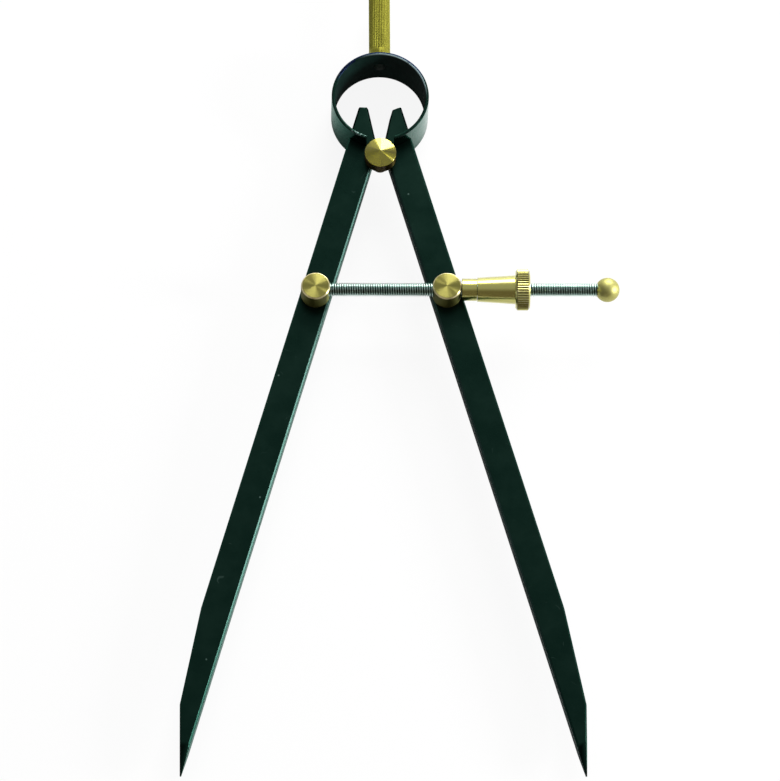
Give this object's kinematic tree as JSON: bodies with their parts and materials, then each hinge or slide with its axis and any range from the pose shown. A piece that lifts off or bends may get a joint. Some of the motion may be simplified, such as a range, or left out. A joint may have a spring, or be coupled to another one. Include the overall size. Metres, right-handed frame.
{
  "type": "spring divider",
  "caption": "Spring divider: flat pointed legs rock on a stud under a bow spring with a knurled handle, and a nut on a cross screw sets the spread of the points.",
  "frame": {"origin": "on the fulcrum stud's axis, halfway through the legs' thickness", "axes": "+Y towards the handle, +Z out of the front, where the posts and the screw are, and +X towards the nut"},
  "size_m": [0.1274, 0.2475, 0.0202],
  "materials": {
    "leg_paint": "semi-gloss dark green-black paint",
    "spring_paint": "semi-gloss dark green-black paint",
    "turned_brass": "turned and polished",
    "screw_steel": "dull zinc plate"
  },
  "bodies": {
    "bow": {"bow_spring": "spring_paint", "handle": "turned_brass", "fulcrum_stud": "turned_brass"},
    "left_leg": {"left_leg": "leg_paint"},
    "right_leg": {"right_leg": "leg_paint"},
    "screw": {"left_post": "turned_brass", "left_post_washer": "screw_steel", "adjusting_screw": "screw_steel", "end_ball": "turned_brass"},
    "slide_post": {"right_post": "turned_brass", "right_post_washer": "screw_steel", "thrust_collar": "turned_brass"},
    "nut": {"adjusting_nut": "turned_brass"}
  },
  "joints": [
    {"name": "left_leg_swing", "type": "hinge", "parent": "bow", "child": "left_leg", "pos_m": [0, 0, 0], "axis": [0, 0, -1], "range_deg": [-16.6, 12], "deforming": ["bow_spring"]},
    {"name": "right_leg_swing", "type": "hinge", "parent": "bow", "child": "right_leg", "pos_m": [0, 0, 0], "axis": [0, 0, 1], "range_deg": [-16.6, 12], "deforming": ["bow_spring"]},
    {"name": "left_post_turn", "type": "hinge", "parent": "left_leg", "child": "screw", "pos_m": [-0.01912, -0.0436, 0], "axis": [0, 0, 1], "range_deg": [-16.6, 12]},
    {"name": "right_post_turn", "type": "hinge", "parent": "right_leg", "child": "slide_post", "pos_m": [0.01912, -0.0436, 0], "axis": [0, 0, -1], "range_deg": [-16.6, 12]},
    {"name": "nut_spin", "type": "hinge", "parent": "slide_post", "child": "nut", "pos_m": [0.01912, -0.0436, 0.00625], "axis": [1, 0, 0], "range_deg": [-13073, 9450]}
  ],
  "couplings": [
    {"joint": "left_leg_swing", "follows": "nut_spin", "ratio": 0.0012698},
    {"joint": "right_leg_swing", "follows": "nut_spin", "ratio": 0.0012698},
    {"joint": "left_post_turn", "follows": "nut_spin", "ratio": 0.0012698},
    {"joint": "right_post_turn", "follows": "nut_spin", "ratio": 0.0012698}
  ]
}
